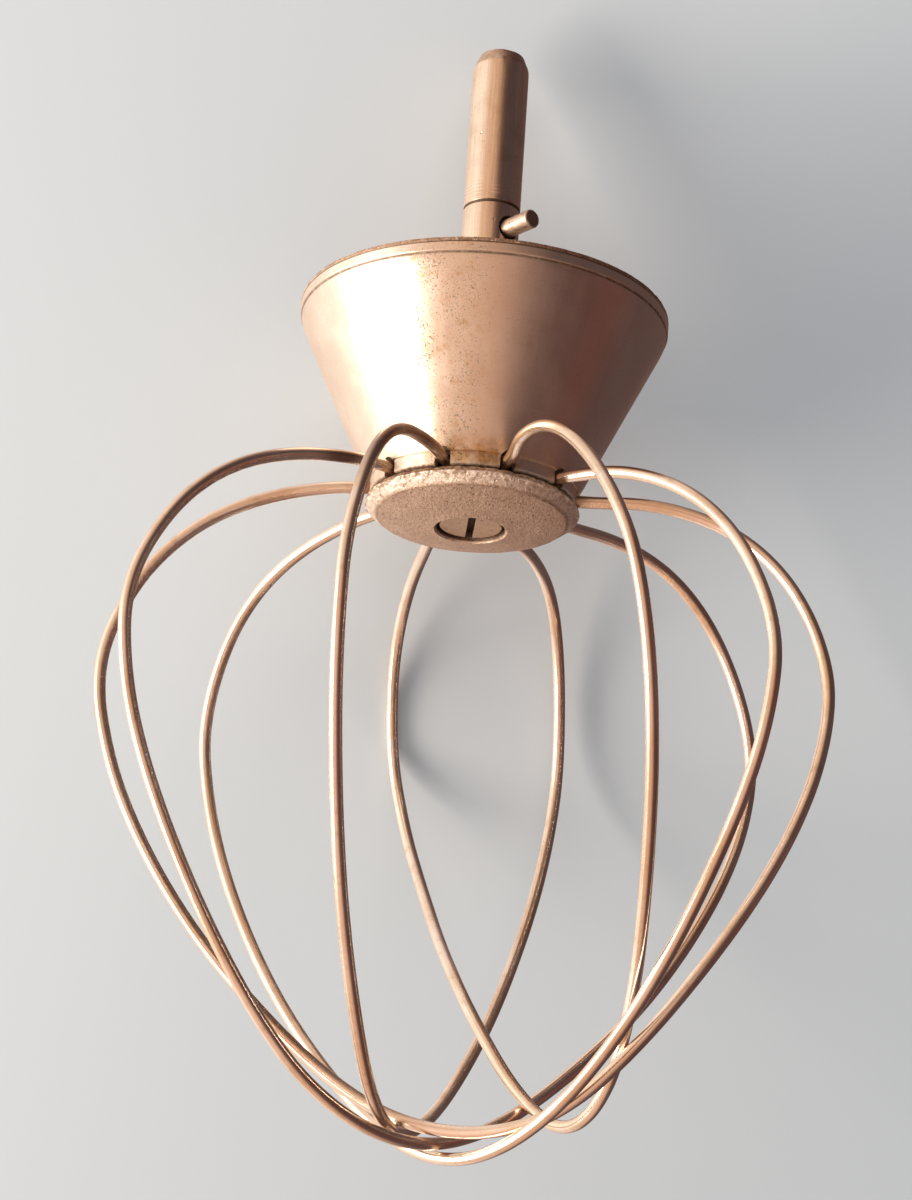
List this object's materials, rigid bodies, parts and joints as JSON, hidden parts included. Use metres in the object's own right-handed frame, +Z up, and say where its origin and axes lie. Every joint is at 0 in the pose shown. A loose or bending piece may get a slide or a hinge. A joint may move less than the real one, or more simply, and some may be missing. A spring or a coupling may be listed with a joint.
{
  "type": "balloon whisk",
  "caption": "Balloon whisk for a planetary mixer: steel drive shaft with a cross pin, cone hub, and sprung wire loops held in notches by a screwed clamp disc.",
  "frame": {"origin": "centre of the hub's top face, on the drive shaft's axis", "axes": "+Z up along the drive shaft, away from the wire cage; -Y is the front, with the drive pin's free end to the right of it; +X to the right"},
  "size_m": [0.1177, 0.1153, 0.1888],
  "materials": {
    "shaft_steel": "burnished, with fine turning marks",
    "pin_steel": "worn, slightly tarnished",
    "spun_aluminium": "satin, with fine pits and brown spots",
    "cast_aluminium": "matte and pitted, dark in the low places",
    "wire_steel": "satin drawn wire",
    "screw_steel": "dull, with a worn slot",
    "core_steel": "plain turned"
  },
  "bodies": {
    "hub": {"drive_shaft": "shaft_steel", "drive_pin": "pin_steel", "core_pin": "core_steel", "hub_core": "core_steel", "hub_cover": "spun_aluminium", "cover_ring": "core_steel", "hub_cone": "spun_aluminium", "wire_seat_ring": "core_steel", "locating_pin": "core_steel", "wire_loop_left_far": "wire_steel", "wire_loop_left_near": "wire_steel", "wire_loop_side": "wire_steel", "wire_loop_front_right": "wire_steel", "wire_loop_front_left": "wire_steel"},
    "clamp": {"clamp_disc": "cast_aluminium", "lock_washer": "screw_steel"},
    "screw": {"clamp_screw": "screw_steel"}
  },
  "joints": [
    {"name": "clamp_drop", "type": "slide", "parent": "hub", "child": "clamp", "axis": [0, 0, -1], "range_m": [0, 0.00762]},
    {"name": "screw_turn", "type": "hinge", "parent": "clamp", "child": "screw", "pos_m": [0, 0, -0.0375], "axis": [0, 0, -1], "range_deg": [0, 2160]}
  ],
  "couplings": [
    {"joint": "screw_turn", "follows": "clamp_drop", "rad_per_m": 4947.4}
  ]
}
